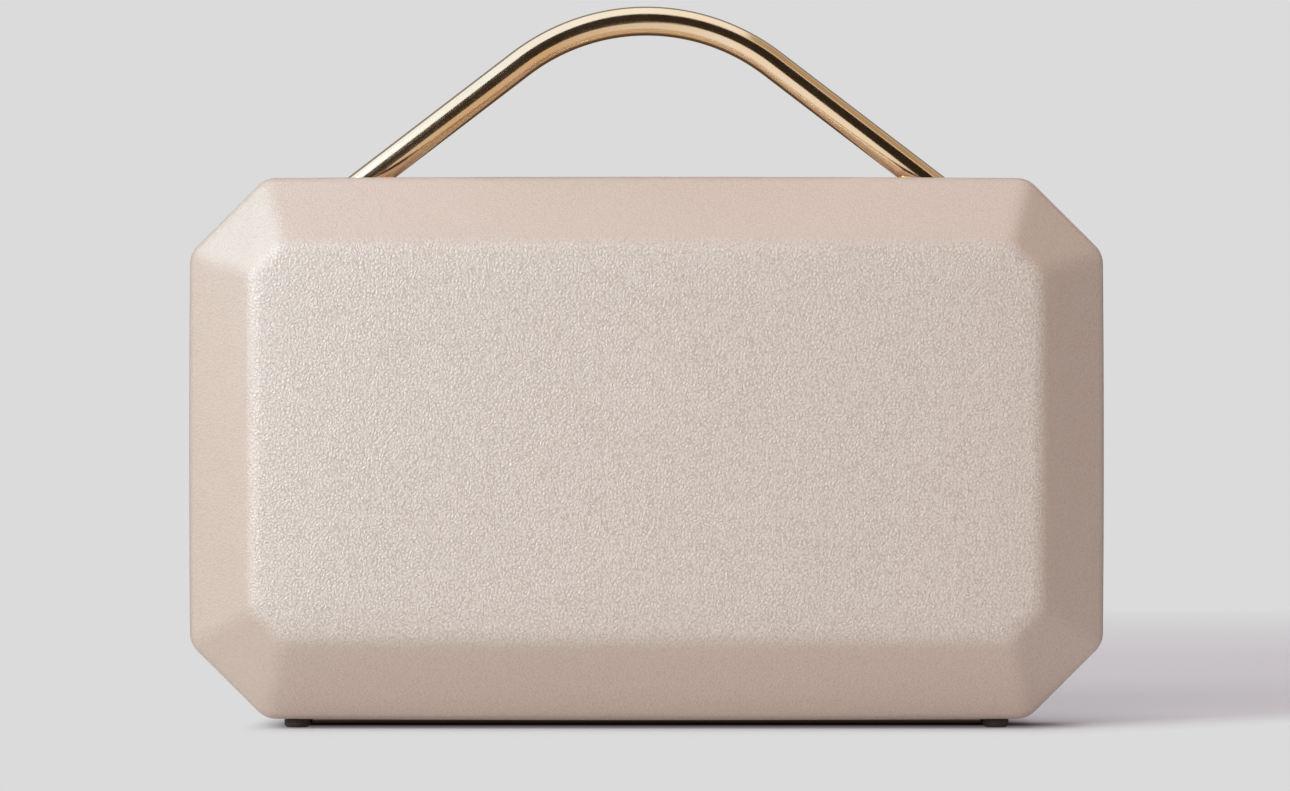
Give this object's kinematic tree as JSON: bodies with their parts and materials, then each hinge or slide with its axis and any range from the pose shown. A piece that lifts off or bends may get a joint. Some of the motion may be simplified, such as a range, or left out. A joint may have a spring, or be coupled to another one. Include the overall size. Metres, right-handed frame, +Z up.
{
  "type": "top-handle clutch",
  "caption": "Hard box clutch with cut corners: two leather-covered shells hinged along the base, a bent rod handle on top and a push-button latch between its legs.",
  "frame": {"origin": "on the surface that the clutch stands on, under the middle of its body's box", "axes": "+X runs along the width to the viewer's right, +Y from the front to the back, +Z up"},
  "size_m": [0.2, 0.05, 0.1592],
  "materials": {
    "leather": "fine pebbled pearl-beige leather, satin",
    "foam": "thin closed-cell padding",
    "core": "moulded board",
    "suede": "brushed suede lining",
    "brass": "polished pale gold plate",
    "steel": "satin nickel",
    "rubber": "matt dark brown rubber"
  },
  "bodies": {
    "back_half": {"back_leather_cover": "leather", "back_foam_padding": "foam", "back_shell_core": "core", "back_suede_lining": "suede", "slip_pocket": "suede", "back_brass_frame": "brass", "hinge_pin": "steel", "back_frame_screw_left_lower": "steel", "back_frame_screw_left_upper": "steel", "back_frame_screw_right_lower": "steel", "back_frame_screw_right_upper": "steel", "foot_front_left": "rubber", "foot_front_right": "rubber", "foot_rear_left": "rubber", "foot_rear_right": "rubber", "handle_rod": "brass", "handle_ferrule_left": "brass", "handle_ferrule_right": "brass", "handle_socket_left": "brass", "handle_socket_right": "brass", "handle_set_screw_left": "steel", "handle_set_screw_right": "steel", "socket_screw_left_front": "steel", "socket_screw_left_rear": "steel", "socket_screw_right_front": "steel", "socket_screw_right_rear": "steel", "button_bezel": "brass", "button_spring": "steel", "latch_housing": "steel", "housing_screw_left": "steel", "housing_screw_right": "steel"},
    "front_half": {"front_leather_cover": "leather", "front_foam_padding": "foam", "front_shell_core": "core", "front_suede_lining": "suede", "front_brass_frame": "brass", "front_frame_screw_left_lower": "steel", "front_frame_screw_left_upper": "steel", "front_frame_screw_right_lower": "steel", "front_frame_screw_right_upper": "steel", "strike_plate": "brass", "strike_screw_left": "steel", "strike_screw_right": "steel"},
    "latch": {"push_button": "brass", "latch_catch": "steel", "catch_screw": "steel"}
  },
  "joints": [
    {"name": "lid_hinge", "type": "hinge", "parent": "back_half", "child": "front_half", "pos_m": [0, -0.0066, 0.0036], "axis": [1, 0, 0], "range_deg": [0, 48]},
    {"name": "button_press", "type": "slide", "parent": "back_half", "child": "latch", "axis": [0, 0, -1], "range_m": [0, 0.0012], "stiffness_N_per_m": 600, "springref_m": -0.001, "deforming": ["button_spring"]}
  ]
}
